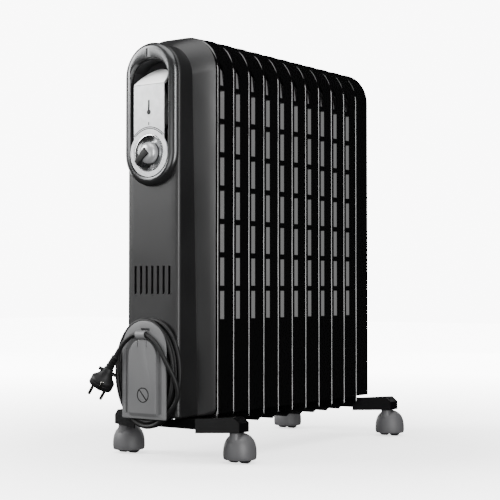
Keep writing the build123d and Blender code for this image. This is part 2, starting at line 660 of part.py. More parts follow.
FOOT_MIDDLE_XS = {"front": FRONT_CASTER_X - FOOT_SWEEP, "rear": REAR_CASTER_X - FOOT_SWEEP}
SWEEP_SLOPE = FOOT_SWEEP / (CASTER_Y - FOOT_ROOT_Y)
U_BOLT_R = 2.5
U_BOLT_Y = HUB_R + U_BOLT_R + 0.3
U_BOLT_BOTTOM_Z = 51.0


def foot_plan(middle_x, inset):
    """Plan of a foot: a straight middle with both arms swept back."""
    half = FOOT_WIDTH / 2 - inset
    end_y = FOOT_END_Y - inset
    end_x = middle_x + SWEEP_SLOPE * (end_y - FOOT_ROOT_Y)
    Polygon((middle_x - half, -FOOT_ROOT_Y), (middle_x - half, FOOT_ROOT_Y), (end_x - half, end_y),
            (end_x + half, end_y), (middle_x + half, FOOT_ROOT_Y), (middle_x + half, -FOOT_ROOT_Y),
            (end_x + half, -end_y), (end_x - half, -end_y), align=None)


def foot_side(inset):
    """Front view of a foot: the arms rise outwards and end in a chamfer."""
    end_y = FOOT_END_Y - inset
    end_top = FOOT_END_TOP_Z - inset
    upper = ((end_y, end_top - FOOT_END_CHAMFER), (end_y - FOOT_END_CHAMFER, end_top),
             (FOOT_ROOT_Y, FOOT_MIDDLE_TOP_Z - inset))
    lower = ((FOOT_ROOT_Y, FOOT_MIDDLE_BOTTOM_Z), (FOOT_ROOT_Y, FOOT_ROOT_BOTTOM_Z), (end_y, FOOT_END_BOTTOM_Z))
    half_outline = (((end_y, 30),) if inset else lower) + upper
    Polygon(*half_outline, *[(-y, z) for y, z in reversed(half_outline)], align=None)


def foot(middle_x):
    """One pressed steel foot, a channel open underneath, with a socket for each caster stem."""
    caster_x = middle_x + FOOT_SWEEP
    sockets = [(caster_x, -CASTER_Y, 0), (caster_x, CASTER_Y, 0)]
    with BuildPart() as piece:
        with BuildSketch(Plane.XY.offset(FOOT_ROOT_BOTTOM_Z - 5)):
            foot_plan(middle_x, 0)
        extrude(amount=60)
        with BuildSketch(Plane.YZ.offset(middle_x - 40)):
            foot_side(0)
        extrude(amount=120, mode=Mode.INTERSECT)
        with BuildPart(mode=Mode.PRIVATE) as hollow:
            with BuildSketch(Plane.XY.offset(FOOT_ROOT_BOTTOM_Z - 5)):
                foot_plan(middle_x, FOOT_WALL)
            extrude(amount=60)
            with BuildSketch(Plane.YZ.offset(middle_x - 40)):
                foot_side(FOOT_WALL)
            extrude(amount=120, mode=Mode.INTERSECT)
        add(hollow.part, mode=Mode.SUBTRACT)
        for socket in sockets:
            with Locations((socket[0], socket[1], COLLAR_TOP_Z + 0.7)):
                Cylinder(8, 20, align=(Align.CENTER, Align.CENTER, Align.MIN))
                Cylinder(STEM_R + 0.06, 18.5, align=(Align.CENTER, Align.CENTER, Align.MIN), mode=Mode.SUBTRACT)
        with Locations((middle_x, -U_BOLT_Y, FOOT_MIDDLE_TOP_Z), (middle_x, U_BOLT_Y, FOOT_MIDDLE_TOP_Z)):
            Cylinder(U_BOLT_R + 0.2, 10, mode=Mode.SUBTRACT)
    return piece


for end_name, middle_x in FOOT_MIDDLE_XS.items():
    save(foot(middle_x), f"{end_name}_foot")

with BuildPart() as u_bolts:
    for middle_x in FOOT_MIDDLE_XS.values():
        for side in (-1, 1):
            with BuildSketch(Plane.XY.offset(U_BOLT_BOTTOM_Z)):
                with Locations((middle_x, side * U_BOLT_Y)):
                    Circle(U_BOLT_R)
            extrude(amount=LOWER_HUB_Z - U_BOLT_BOTTOM_Z)
        with BuildSketch(Plane.XY.offset(LOWER_HUB_Z)):
            with Locations((middle_x, U_BOLT_Y)):
                Circle(U_BOLT_R)
        revolve(axis=Axis((middle_x, 0, LOWER_HUB_Z), (1, 0, 0)), revolution_arc=180)
save(u_bolts, "u_bolts")

with BuildPart() as foot_nuts:
    for middle_x in FOOT_MIDDLE_XS.values():
        for side in (-1, 1):
            with BuildSketch(Plane.XY.offset(FOOT_MIDDLE_TOP_Z - FOOT_WALL)):
                with Locations((middle_x, side * U_BOLT_Y)):
                    RegularPolygon(5.2, 6)
                    with Locations((0, 7), (0, -7)):
                        Rectangle(2.4, 8)
                    Circle(U_BOLT_R, mode=Mode.SUBTRACT)
            extrude(amount=-7)
save(foot_nuts, "foot_nuts")

# ---------------------------------------------------------------- casters


def caster_stem(x, y):
    with BuildPart() as piece:
        with Locations((x, y, 34)):
            Cylinder(STEM_R, 29.5, align=(Align.CENTER, Align.CENTER, Align.MIN))
        chamfer(edges().group_by(Axis.Z)[-1], 1.0)
    return piece


def caster_hood(x, y):
    """A ball-shaped hood with its collar over the stem and a web that carries the axle."""
    ball_x = x + CASTER_TRAIL
    with BuildPart() as piece:
        with Locations((ball_x, y, HOOD_MID_Z)):
            Sphere(HOOD_R)
        with Locations((x, y, HOOD_MID_Z)):
            Cylinder(COLLAR_R, COLLAR_TOP_Z - HOOD_MID_Z, align=(Align.CENTER, Align.CENTER, Align.MIN))
        with Locations((ball_x, y, HOOD_MID_Z)):
            Sphere(HOOD_R - HOOD_WALL, mode=Mode.SUBTRACT)
        with Locations(Location((ball_x, y, WHEEL_R), (90, 0, 0))):
            Cylinder(WHEEL_R + 0.8, 2 * WHEEL_OUTER_Y + 1.2, mode=Mode.SUBTRACT)
        with BuildPart(mode=Mode.PRIVATE) as web:
            with Locations((ball_x, y, HOOD_MID_Z)):
                Sphere(HOOD_R - 0.5)
            with Locations((ball_x, y, HOOD_MID_Z)):
                Box(60, 2 * (WHEEL_INNER_Y - 0.5), 60, mode=Mode.INTERSECT)
        add(web.part)
        with BuildPart(mode=Mode.PRIVATE) as collar_root:
            with Locations((x, y, 30)):
                Cylinder(COLLAR_R, 12, align=(Align.CENTER, Align.CENTER, Align.MIN))
            with Locations((ball_x, y, HOOD_MID_Z)):
                Sphere(HOOD_R, mode=Mode.INTERSECT)
        add(collar_root.part)
        with Locations((ball_x, y, 0)):
            Box(80, 80, HOOD_BOTTOM_Z, align=(Align.CENTER, Align.CENTER, Align.MIN), mode=Mode.SUBTRACT)
            Box(80, 80, 30, align=(Align.CENTER, Align.CENTER, Align.MAX), mode=Mode.SUBTRACT)
        with Locations((x, y, 34)):
            Cylinder(STEM_R, 20, align=(Align.CENTER, Align.CENTER, Align.MIN), mode=Mode.SUBTRACT)
        with Locations(Location((ball_x, y, WHEEL_R), (90, 0, 0))):
            Cylinder(AXLE_R, 10, mode=Mode.SUBTRACT)
    return piece


def caster_axle(x, y):
    with BuildPart() as piece:
        with Locations(Location((x + CASTER_TRAIL, y, WHEEL_R), (90, 0, 0))):
            Cylinder(AXLE_R, 2 * WHEEL_OUTER_Y - 1)
    return piece


def caster_wheel(x, y, side):
    """One wheel of a twin pair, turning on the fixed axle."""
    middle_y = y + side * (WHEEL_INNER_Y + WHEEL_OUTER_Y) / 2
    width = WHEEL_OUTER_Y - WHEEL_INNER_Y
    with BuildPart() as piece:
        with Locations(Location((x + CASTER_TRAIL, middle_y, WHEEL_R), (90, 0, 0))):
            Cylinder(WHEEL_R, width)
        fillet(edges().filter_by(GeomType.CIRCLE), 1.5)
        with Locations(Location((x + CASTER_TRAIL, middle_y, WHEEL_R), (90, 0, 0))):
            Cylinder(AXLE_R + 0.05, width, mode=Mode.SUBTRACT)
    return piece


caster_places = {
    "front_left": (FRONT_CASTER_X, CASTER_Y),
    "front_right": (FRONT_CASTER_X, -CASTER_Y),
    "rear_left": (REAR_CASTER_X, CASTER_Y),
    "rear_right": (REAR_CASTER_X, -CASTER_Y),
}
for place_name, (caster_x, caster_y) in caster_places.items():
    save(caster_stem(caster_x, caster_y), f"{place_name}_caster_stem")
    save(caster_hood(caster_x, caster_y), f"{place_name}_caster_hood")
    save(caster_axle(caster_x, caster_y), f"{place_name}_caster_axle")
    save(caster_wheel(caster_x, caster_y, 1), f"{place_name}_wheel_a")
    save(caster_wheel(caster_x, caster_y, -1), f"{place_name}_wheel_b")
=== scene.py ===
"""Oil-filled column radiator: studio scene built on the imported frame."""
from math import atan2, cos, pi, radians, sin
import bpy
from mathutils import Matrix, Vector


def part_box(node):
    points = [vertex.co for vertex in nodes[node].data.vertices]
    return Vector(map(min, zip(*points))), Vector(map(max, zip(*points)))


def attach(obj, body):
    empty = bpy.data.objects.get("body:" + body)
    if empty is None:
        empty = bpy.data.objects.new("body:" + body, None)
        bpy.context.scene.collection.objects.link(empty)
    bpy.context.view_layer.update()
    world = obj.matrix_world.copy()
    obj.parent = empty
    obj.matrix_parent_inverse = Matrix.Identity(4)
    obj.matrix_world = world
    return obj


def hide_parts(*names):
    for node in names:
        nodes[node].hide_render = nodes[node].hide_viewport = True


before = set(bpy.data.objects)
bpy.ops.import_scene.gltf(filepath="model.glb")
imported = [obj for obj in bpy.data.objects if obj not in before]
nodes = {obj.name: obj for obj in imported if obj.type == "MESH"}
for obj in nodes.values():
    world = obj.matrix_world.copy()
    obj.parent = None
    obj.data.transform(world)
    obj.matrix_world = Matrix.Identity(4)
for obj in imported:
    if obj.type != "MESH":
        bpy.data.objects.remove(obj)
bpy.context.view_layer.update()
bpy.ops.object.select_all(action="DESELECT")

# The row of fins runs along X, with its front at -X. Lengths are in metres. The places that the pieces are
# built on are taken from the frame.
FIN_1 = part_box("fin_01")[1][0] - 0.0365
FIN_PITCH = 0.04
FACE = FIN_1 - 0.061
PLATE_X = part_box("control_plate")[0][0]
WRAP_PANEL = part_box("cord_wrap_plate")[0][0]
WRAP_FLANGE = WRAP_PANEL + 0.004
WRAP_BACK = WRAP_FLANGE + 0.003
DIAL_Z = 0.460

# ------------------------------------------------------------------ camera

EYE = Vector((FIN_1 - 1.5458, -1.2465, 0.2585))
HEADING = 0.6232
TILT = 0.0295
SENSOR_WIDTH = 36.0
FOCAL_LENGTH = 93.438
camera_data = bpy.data.cameras.new("studio_camera")
camera_data.sensor_width = SENSOR_WIDTH
camera_data.lens = FOCAL_LENGTH
camera_data.clip_end = 40
camera = bpy.data.objects.new("studio_camera", camera_data)
bpy.context.scene.collection.objects.link(camera)
camera.location = EYE
sight = Vector((cos(HEADING) * cos(TILT), sin(HEADING) * cos(TILT), sin(TILT)))
camera.rotation_euler = sight.to_track_quat("-Z", "Y").to_euler()
bpy.context.scene.camera = camera

# ------------------------------------------------------------------ mains cord

CORD_D = 0.007
CORD_X = WRAP_FLANGE - 0.0043
COIL_HALF_WIDTH = 0.0475
COIL_HALF_HEIGHT = 0.0710
COIL_Z = 0.1345
COIL_START = -41
COIL_STEP = -22.5
COIL_STEPS = 53

# How the lead lies: turns made so far, how far in front of the cover, and how far out from the drum.
COIL_LAYERS = [
    (0.00, 0.0082, 0.0000),
    (0.09, 0.0052, 0.0110),
    (0.62, 0.0050, 0.0110),
    (0.84, 0.0048, 0.0030),
    (1.62, 0.0048, 0.0030),
    (1.84, 0.0125, 0.0032),
    (2.62, 0.0125, 0.0032),
    (2.84, 0.0130, 0.0108),
    (3.40, 0.0130, 0.0112),
]


def layer_at(turn):
    """How the lead lies after so many turns, changing evenly between the rows above."""
    for (start, depth, out), (end, next_depth, next_out) in zip(COIL_LAYERS, COIL_LAYERS[1:]):
        if turn <= end:
            part = (turn - start) / (end - start)
            return depth + part * (next_depth - depth), out + part * (next_out - out)
    return COIL_LAYERS[-1][1:]


def coil_points():
    """Turns of the lead round the spool, from its gland down and round, each a little unlike the last."""
    points = [(FACE - 0.0082, 0.0465, 0.1244), (FACE - 0.0070, 0.0528, 0.1119)]
    for step in range(COIL_STEPS):
        angle = radians(COIL_START + COIL_STEP * step)
        turn = (-angle - radians(8.4)) / (2 * pi)
        depth, out = layer_at(turn)
        out += 0.0006 * sin(2.3 * turn + 1.1 * angle)
        points.append((FACE - depth, (COIL_HALF_WIDTH + out) * cos(angle),
                       COIL_Z + (COIL_HALF_HEIGHT + out) * sin(angle)))
    return points


# The free end: up beside the flange, over its top through the clip, and down to the plug.
TAIL_ROUTE = [
    (FACE - 0.0090, -0.0585, 0.0980),
    (FACE - 0.0145, -0.0570, 0.1240),
    (CORD_X, -0.0455, 0.1520),
    (CORD_X - 0.0002, -0.0300, 0.1765),
    (CORD_X - 0.0003, -0.0110, 0.1908),
    (CORD_X - 0.0005, 0.0130, 0.1913),
    (CORD_X - 0.0014, 0.0300, 0.1810),
    (CORD_X - 0.0026, 0.0410, 0.1685),
    (CORD_X - 0.0034, 0.0485, 0.1565),
]


def spline_length(curve_object):
    """Length of a bare curve, added up along its edges."""
    bare = bpy.data.meshes.new_from_object(curve_object)
    length = sum((bare.vertices[edge.vertices[0]].co - bare.vertices[edge.vertices[1]].co).length
                 for edge in bare.edges)
    bpy.data.meshes.remove(bare)
    return length


def lay_cord(name, points):
    """One round lead along the points, and its length."""
    curve = bpy.data.curves.new(name, "CURVE")
    curve.dimensions = "3D"
    curve.resolution_u = 8
    spline = curve.splines.new("NURBS")
    spline.points.add(len(points) - 1)
    for control, place in zip(spline.points, points):
        control.co = (*place, 1.0)
    spline.order_u = 3
    spline.use_endpoint_u = True
    cord = bpy.data.objects.new(name, curve)
    bpy.context.scene.collection.objects.link(cord)
    length = spline_length(cord)
    curve.bevel_depth = CORD_D / 2
    curve.bevel_resolution = 5
    curve.use_fill_caps = True
    return cord, length


# ------------------------------------------------------------------ shared surface effects


def new_group(name, inputs, outputs):
    """An empty shader node group with its sockets, and its input and output nodes."""
    group = bpy.data.node_groups.new(name, "ShaderNodeTree")
    for socket_name, kind, value in inputs:
        socket = group.interface.new_socket(socket_name, in_out="INPUT", socket_type=kind)
        if value is not None:
            socket.default_value = value
    for socket_name, kind in outputs:
        group.interface.new_socket(socket_name, in_out="OUTPUT", socket_type=kind)
    return group, group.nodes.new("NodeGroupInput"), group.nodes.new("NodeGroupOutput")


def feed(tree, socket, value):
    """Sets a socket to a number or a colour, or links another node's output to it."""
    if isinstance(value, (int, float)):
        socket.default_value = value
    elif isinstance(value, tuple):
        socket.default_value = (*value, 1.0)
    else:
        tree.links.new(value, socket)


def maths(tree, operation, first, second):
    """The result of one sum on two values."""
    node = tree.nodes.new("ShaderNodeMath")
    node.operation = operation
    feed(tree, node.inputs[0], first)
    feed(tree, node.inputs[1], second)
    return node.outputs[0]


def span(tree, value, low, high, start=0.0, end=1.0):
    """Maps the stretch from low to high onto the one from start to end."""
    node = tree.nodes.new("ShaderNodeMapRange")
    feed(tree, node.inputs["Value"], value)
    feed(tree, node.inputs["From Min"], low)
    feed(tree, node.inputs["From Max"], high)
    feed(tree, node.inputs["To Min"], start)
    feed(tree, node.inputs["To Max"], end)
    return node.outputs["Result"]


def noise(tree, where, scale, detail, rough=0.55):
    """A soft random pattern between 0 and 1."""
    node = tree.nodes.new("ShaderNodeTexNoise")
    feed(tree, node.inputs["Vector"], where)
    feed(tree, node.inputs["Scale"], scale)
    node.inputs["Detail"].default_value = detail
    node.inputs["Roughness"].default_value = rough
    return node.outputs["Fac"]


# Fine texture of a moulded or enamelled surface: a height, an even tone change and a roughness change.
surface_grain, given, told = new_group(
    "surface_grain",
    (("Where", "NodeSocketVector", None), ("Grain Scale", "NodeSocketFloat", 900.0),
     ("Roughness Low", "NodeSocketFloat", 0.3), ("Roughness High", "NodeSocketFloat", 0.4)),
    (("Height", "NodeSocketFloat"), ("Tone", "NodeSocketFloat"), ("Roughness", "NodeSocketFloat")))
fine = noise(surface_grain, given.outputs["Where"], given.outputs["Grain Scale"], 2.0)
broad = noise(surface_grain, given.outputs["Where"], 14.0, 4.0)
surface_grain.links.new(fine, told.inputs["Height"])
surface_grain.links.new(broad, told.inputs["Tone"])
surface_grain.links.new(span(surface_grain, broad, 0.3, 0.7, given.outputs["Roughness Low"],
                             given.outputs["Roughness High"]), told.inputs["Roughness"])

# Fine dust that settles on faces that look upwards, broken up by noise.
settled_dust, given, told = new_group(
    "settled_dust",
    (("Where", "NodeSocketVector", None), ("Amount", "NodeSocketFloat", 0.1)),
    (("Mask", "NodeSocketFloat"),))
geometry = settled_dust.nodes.new("ShaderNodeNewGeometry")
split = settled_dust.nodes.new("ShaderNodeSeparateXYZ")
settled_dust.links.new(geometry.outputs["Normal"], split.inputs[0])
upward = span(settled_dust, split.outputs["Z"], 0.2, 1.0)
specks = span(settled_dust, noise(settled_dust, given.outputs["Where"], 260.0, 5.0, 0.7), 0.45, 0.75)
lying = maths(settled_dust, "MULTIPLY", upward, specks)
dusty = maths(settled_dust, "MULTIPLY", lying, given.outputs["Amount"])
settled_dust.links.new(dusty, told.inputs["Mask"])

# Light rubbing along outside edges.
edge_rub, given, told = new_group(
    "edge_rub",
    (("Where", "NodeSocketVector", None), ("Amount", "NodeSocketFloat", 0.3)),
    (("Mask", "NodeSocketFloat"),))
geometry = edge_rub.nodes.new("ShaderNodeNewGeometry")
sharp = span(edge_rub, geometry.outputs["Pointiness"], 0.53, 0.62)
patchy = span(edge_rub, noise(edge_rub, given.outputs["Where"], 90.0, 4.0, 0.6), 0.4, 0.65)
bare_edges = maths(edge_rub, "MULTIPLY", sharp, patchy)
rubbed = maths(edge_rub, "MULTIPLY", bare_edges, given.outputs["Amount"])
edge_rub.links.new(rubbed, told.inputs["Mask"])


def blend_colour(tree, factor, first, second):
    """Mixes two colours, from the first at 0 to the second at 1."""
    node = tree.nodes.new("ShaderNodeMix")
    node.data_type = "RGBA"
    tree.links.new(factor, node.inputs["Factor"])
    feed(tree, node.inputs["A"], first)
    feed(tree, node.inputs["B"], second)
    return node.outputs["Result"]


DUST_COLOUR = (0.45, 0.43, 0.40)


def make_finish(name, colour, roughness, metallic=0.0, specular=0.5, coat=0.0, coat_roughness=0.05,
                spread=0.15, grain_scale=900.0, grain_depth=0.00002, dust=0.08, rub=0.2):
    """A surface made of a base colour, its grain, rubbed edges and a little dust."""
    finish = bpy.data.materials.new(name)
    finish.use_nodes = True
    tree = finish.node_tree
    shader = tree.nodes["Principled BSDF"]
    where = tree.nodes.new("ShaderNodeTexCoord").outputs["Object"]
    grain = tree.nodes.new("ShaderNodeGroup")
    grain.node_tree = surface_grain
    tree.links.new(where, grain.inputs["Where"])
    grain.inputs["Grain Scale"].default_value = grain_scale
    grain.inputs["Roughness Low"].default_value = max(roughness - 0.05, 0.02)
    grain.inputs["Roughness High"].default_value = roughness + 0.05
    darker = tuple(channel * (1 - spread) for channel in colour)
    lighter = tuple(min(channel * (1 + spread), 1.0) for channel in colour)
    base = blend_colour(tree, grain.outputs["Tone"], darker, lighter)
    rubbing = tree.nodes.new("ShaderNodeGroup")
    rubbing.node_tree = edge_rub
    tree.links.new(where, rubbing.inputs["Where"])
    rubbing.inputs["Amount"].default_value = rub
    worn = tuple(min(channel * 2.0 + 0.03, 1.0) for channel in colour)
    base = blend_colour(tree, rubbing.outputs["Mask"], base, worn)
    dusting = tree.nodes.new("ShaderNodeGroup")
    dusting.node_tree = settled_dust
    tree.links.new(where, dusting.inputs["Where"])
    dusting.inputs["Amount"].default_value = dust
    base = blend_colour(tree, dusting.outputs["Mask"], base, DUST_COLOUR)
    tree.links.new(base, shader.inputs["Base Color"])
    tree.links.new(grain.outputs["Roughness"], shader.inputs["Roughness"])
    bump = tree.nodes.new("ShaderNodeBump")
    bump.inputs["Strength"].default_value = 0.5
    bump.inputs["Distance"].default_value = grain_depth
    tree.links.new(grain.outputs["Height"], bump.inputs["Height"])
    tree.links.new(bump.outputs["Normal"], shader.inputs["Normal"])
    shader.inputs["Metallic"].default_value = metallic
    shader.inputs["Specular IOR Level"].default_value = specular
    shader.inputs["Coat Weight"].default_value = coat
    shader.inputs["Coat Roughness"].default_value = coat_roughness
    return finish


# The look of each part. A black part that has to stay deep takes no dust and no rubbed edges.
enamel = make_finish("fin_enamel", (0.0015, 0.0015, 0.0016), 0.12, coat=0.6, coat_roughness=0.04,
                     grain_scale=60.0, grain_depth=0.000004, dust=0.0, rub=0.0)
cover_gloss = make_finish("cover_black", (0.0045, 0.0045, 0.0048), 0.46,
                          grain_scale=1100.0, grain_depth=0.00001, dust=0.0, rub=0.0)
vent_black = make_finish("vent_black", (0.002, 0.002, 0.002), 0.7, specular=0.1, dust=0.0, rub=0.0)
bezel_plating = make_finish("bezel_silver", (0.072, 0.073, 0.074), 0.28, metallic=0.9, grain_scale=200.0,
                            grain_depth=0.000005, dust=0.0, rub=0.0, spread=0.06)
dish_plating = make_finish("dish_chrome", (0.44, 0.445, 0.45), 0.24, metallic=1.0, dust=0.0, rub=0.0)
panel_paint = make_finish("panel_silver", (0.41, 0.415, 0.42), 0.34, metallic=0.55, coat=0.3,
                          grain_scale=2200.0, dust=0.03, spread=0.05)
knob_paint = make_finish("knob_silver", (0.34, 0.345, 0.35), 0.34, metallic=0.6, coat=0.3, dust=0.0,
                         rub=0.0, spread=0.05)
# The rest's near-white colour is partly its own pale silver and partly a painted highlight.
rest_highlight_paint = make_finish("rest_painted_highlight", (0.96, 0.96, 0.96), 0.40, coat=0.4, grain_scale=300.0,
                         grain_depth=0.000005, dust=0.0, rub=0.0, spread=0.03)
pointer_black = make_finish("pointer_black", (0.004, 0.004, 0.004), 0.45, specular=0.25, dust=0.0, rub=0.0)
pocket_plastic = make_finish("pocket_black", (0.014, 0.014, 0.015), 0.55, grain_scale=1400.0,
                             grain_depth=0.00006)
switch_plastic = make_finish("switch_grey", (0.50, 0.51, 0.50), 0.5)
zinc = make_finish("zinc_steel", (0.55, 0.56, 0.57), 0.32, metallic=1.0, grain_scale=300.0)
sheath_steel = make_finish("sheath_steel", (0.40, 0.38, 0.36), 0.42, metallic=1.0, spread=0.25)
fibre = make_finish("gasket_fibre", (0.10, 0.09, 0.08), 0.85, grain_scale=500.0, grain_depth=0.0001)
sleeving = make_finish("wire_sleeve", (0.70, 0.68, 0.63), 0.7, grain_scale=1500.0, grain_depth=0.0001)
wrap_plastic = make_finish("wrap_grey", (0.074, 0.0745, 0.076), 0.45, grain_scale=1300.0,
                           grain_depth=0.00004)
clip_plastic = make_finish("clip_grey", (0.080, 0.080, 0.082), 0.5)
cord_sheath = make_finish("cord_black", (0.0035, 0.0035, 0.0037), 0.55, specular=0.3, grain_scale=800.0,
                          grain_depth=0.00004, dust=0.03)
plug_plastic = make_finish("plug_black", (0.004, 0.004, 0.0042), 0.50, specular=0.22, grain_scale=900.0,
                           grain_depth=0.00005, dust=0.0, rub=0.0)
nickel = make_finish("pin_nickel", (0.70, 0.68, 0.63), 0.20, metallic=1.0)
foot_gloss = make_finish("foot_enamel", (0.002, 0.002, 0.0022), 0.34, specular=0.15, grain_scale=380.0,
                         grain_depth=0.00002, dust=0.02, rub=0.0)
hood_plastic = make_finish("caster_grey", (0.052, 0.0515, 0.054), 0.52, grain_scale=1200.0,
                           grain_depth=0.00004)
wheel_nylon = make_finish("wheel_black", (0.014, 0.014, 0.015), 0.5, grain_scale=700.0,
                          grain_depth=0.00008, dust=0.2)

NODE_FINISHES = {
    "front_cover": cover_gloss, "handle_bezel": bezel_plating, "handle_pocket": pocket_plastic,
    "control_plate": panel_paint, "dial_dish": dish_plating, "selector_knob": knob_paint,
    "knob_shaft": zinc, "thermostat": switch_plastic, "selector_switch": switch_plastic,
    "thermal_cutout": zinc, "terminal_block": pocket_plastic, "inner_wiring": sleeving,
    "heating_element": sheath_steel, "element_gasket": fibre, "collector_plugs": enamel,
    "oil_filler_plug": zinc, "u_bolts": zinc, "foot_nuts": zinc, "front_foot": foot_gloss,
    "rear_foot": foot_gloss, "cord_spool": pocket_plastic, "cord_wrap_plate": wrap_plastic,
    "cord_clip": clip_plastic, "cord_gland": cord_sheath, "plug_body": plug_plastic,
    "plug_pins": nickel, "cover_screws": zinc,
}
CASTER_FINISHES = {
    "_stem": zinc, "_axle": zinc, "_hood": hood_plastic, "_wheel_a": wheel_nylon, "_wheel_b": wheel_nylon,
}


def finish_of(node):
    """The finish of a node by its name; what is named nowhere is part of the cord."""
    if node.startswith("fin_"):
        return enamel
    for ending, finish in CASTER_FINISHES.items():
        if node.endswith(ending):
            return finish
    return NODE_FINISHES.get(node, cord_sheath)


for node, thing in nodes.items():
    if thing.material_slots:
        for material_slot in thing.material_slots:
            material_slot.material = finish_of(node)
    else:
        thing.data.materials.append(finish_of(node))

# The lead is one spline, which stands for the ring and the free end of the frame.
mains_cord, cord_length = lay_cord("mains_cord", coil_points() + TAIL_ROUTE)
mains_cord.data.materials.append(cord_sheath)
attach(mains_cord, "heater")
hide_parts("cord_coil", "cord_tail")

# ------------------------------------------------------------------ modelling helpers

SMOOTH = radians(32)
CORNER_STEPS = 18
WELD = 0.000002
SKIM = 0.00005


def deselect():
    """Leaves edit mode and selects nothing."""
    if bpy.context.object and bpy.context.object.mode == "EDIT":
        bpy.ops.object.mode_set(mode="OBJECT")
    bpy.ops.object.select_all(action="DESELECT")


def pick_points(test):
    """In edit mode, selects the shown points that pass the test and nothing else."""
    bpy.ops.mesh.select_mode(type="VERT")
    bpy.ops.mesh.select_all(action="DESELECT")
    bpy.ops.object.mode_set(mode="OBJECT")
    for point in bpy.context.object.data.vertices:
        point.select = not point.hide and test(point.co)
    bpy.ops.object.mode_set(mode="EDIT")


def with_modifier(piece, kind, **settings):
    """Adds a modifier to a piece and applies it at once."""
    deselect()
    piece.select_set(True)
    bpy.context.view_layer.objects.active = piece
    modifier = piece.modifiers.new("shape", kind)
    for setting, value in settings.items():
        setattr(modifier, setting, value)
    bpy.ops.object.modifier_apply(modifier=modifier.name)


def cut_away(piece, tool):
    """Cuts a tool out of a piece and throws the tool away."""
    with_modifier(piece, "BOOLEAN", operation="DIFFERENCE", solver="EXACT", object=tool)
    bpy.data.objects.remove(tool)


def done(piece, name, body, finish, stands_for=(), smooth=SMOOTH):
    """Names a finished piece, gives it its finish and lets it ride on its body."""
    deselect()
    piece.select_set(True)
    bpy.context.view_layer.objects.active = piece
    bpy.ops.object.transform_apply(location=True, rotation=True, scale=True)
    bpy.ops.object.shade_smooth_by_angle(angle=smooth)
    piece.name = name
    piece.data.name = name
    piece.data.materials.clear()
    piece.data.materials.append(finish)
    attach(piece, body)
    if stands_for:
        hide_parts(*stands_for)
    piece.select_set(False)
    return piece


def outline(x, half_width, bottom, top, top_radius, bottom_radius, lean=0.0):
    """In edit mode, draws an upright rounded rectangle across the radiator as a loop of edges."""
    middle = (x, 0, (bottom + top) / 2)
    bpy.ops.mesh.select_all(action="SELECT")
    bpy.ops.mesh.hide(unselected=False)
    bpy.ops.mesh.primitive_plane_add(size=1, location=middle, rotation=(pi / 2, 0, pi / 2))
    bpy.ops.transform.resize(value=(1, 2 * half_width, top - bottom), center_override=middle)
    pick_points(lambda place: place.z > top - SKIM)
    bpy.ops.mesh.bevel(offset=top_radius, segments=CORNER_STEPS, affect="VERTICES")
    pick_points(lambda place: place.z < bottom + SKIM)
    bpy.ops.mesh.bevel(offset=bottom_radius, segments=CORNER_STEPS, affect="VERTICES")
    bpy.ops.mesh.select_all(action="SELECT")
    bpy.ops.mesh.delete(type="ONLY_FACE")
    bpy.ops.mesh.select_all(action="SELECT")
    if lean:
        bpy.ops.transform.rotate(value=lean, orient_axis="Y", center_override=(x, 0, 0))


def skinned(outlines, fill=False):
    """A skin over a row of outlines, bridged one after the other, with its two ends closed if asked."""
    deselect()
    bpy.ops.mesh.primitive_plane_add(size=1, location=(0, 0, 0))
    piece = bpy.context.object
    bpy.ops.object.mode_set(mode="EDIT")
    bpy.ops.mesh.select_all(action="SELECT")
    bpy.ops.mesh.delete(type="VERT")
    for first, second in zip(outlines, outlines[1:]):
        outline(*first)
        outline(*second)
        bpy.ops.mesh.reveal(select=False)
        bpy.ops.mesh.select_mode(type="VERT")
        bpy.ops.mesh.select_all(action="DESELECT")
        bpy.ops.object.mode_set(mode="OBJECT")
        lone = lone_points(piece)
        for point in piece.data.vertices:
            point.select = point.index in lone
        bpy.ops.object.mode_set(mode="EDIT")
        bpy.ops.mesh.select_mode(type="EDGE")
        bpy.ops.mesh.bridge_edge_loops()
    bpy.ops.mesh.select_mode(type="VERT")
    bpy.ops.mesh.select_all(action="SELECT")
    bpy.ops.mesh.remove_doubles(threshold=WELD)
    if fill:
        bpy.ops.mesh.select_all(action="SELECT")
        bpy.ops.mesh.fill_holes(sides=0)
    bpy.ops.mesh.select_all(action="SELECT")
    bpy.ops.mesh.normals_make_consistent(inside=False)
    bpy.ops.object.mode_set(mode="OBJECT")
    return piece


def lone_points(piece):
    """The points that no face uses yet."""
    used = set()
    for face in piece.data.polygons:
        used.update(face.vertices)
    return set(range(len(piece.data.vertices))) - used


def turned(rings, segments):
    """A round piece drawn as a disc at the first ring and pulled up ring by ring: (radius, height) each."""
    deselect()
    bpy.ops.mesh.primitive_circle_add(vertices=segments, radius=rings[0][0], location=(0, 0, rings[0][1]),
                                      fill_type="NGON")
    piece = bpy.context.object
    bpy.ops.object.mode_set(mode="EDIT")
    bpy.ops.mesh.select_all(action="SELECT")
    for (radius, height), (next_radius, next_height) in zip(rings, rings[1:]):
        bpy.ops.mesh.extrude_region_move(TRANSFORM_OT_translate={"value": (0, 0, next_height - height)})
        ratio = next_radius / radius
        bpy.ops.transform.resize(value=(ratio, ratio, 1), center_override=(0, 0, next_height))
    bpy.ops.mesh.select_all(action="SELECT")
    bpy.ops.mesh.normals_make_consistent(inside=False)
    bpy.ops.object.mode_set(mode="OBJECT")
    bpy.ops.object.transform_apply(location=True, rotation=True, scale=True)
    return piece


def stand(piece, place, direction, across=(0, 0, 1)):
    """Puts a piece made on the Z axis at a place, along a direction, with its X axis turned to across."""
    along = Vector(direction).normalized()
    side = Vector(across)
    side = side - along * side.dot(along)
    side.normalize()
    third = along.cross(side)
    turn = Matrix((side, third, along)).transposed().to_4x4()
    piece.matrix_world = Matrix.Translation(place) @ turn
    bpy.context.view_layer.update()
    return piece


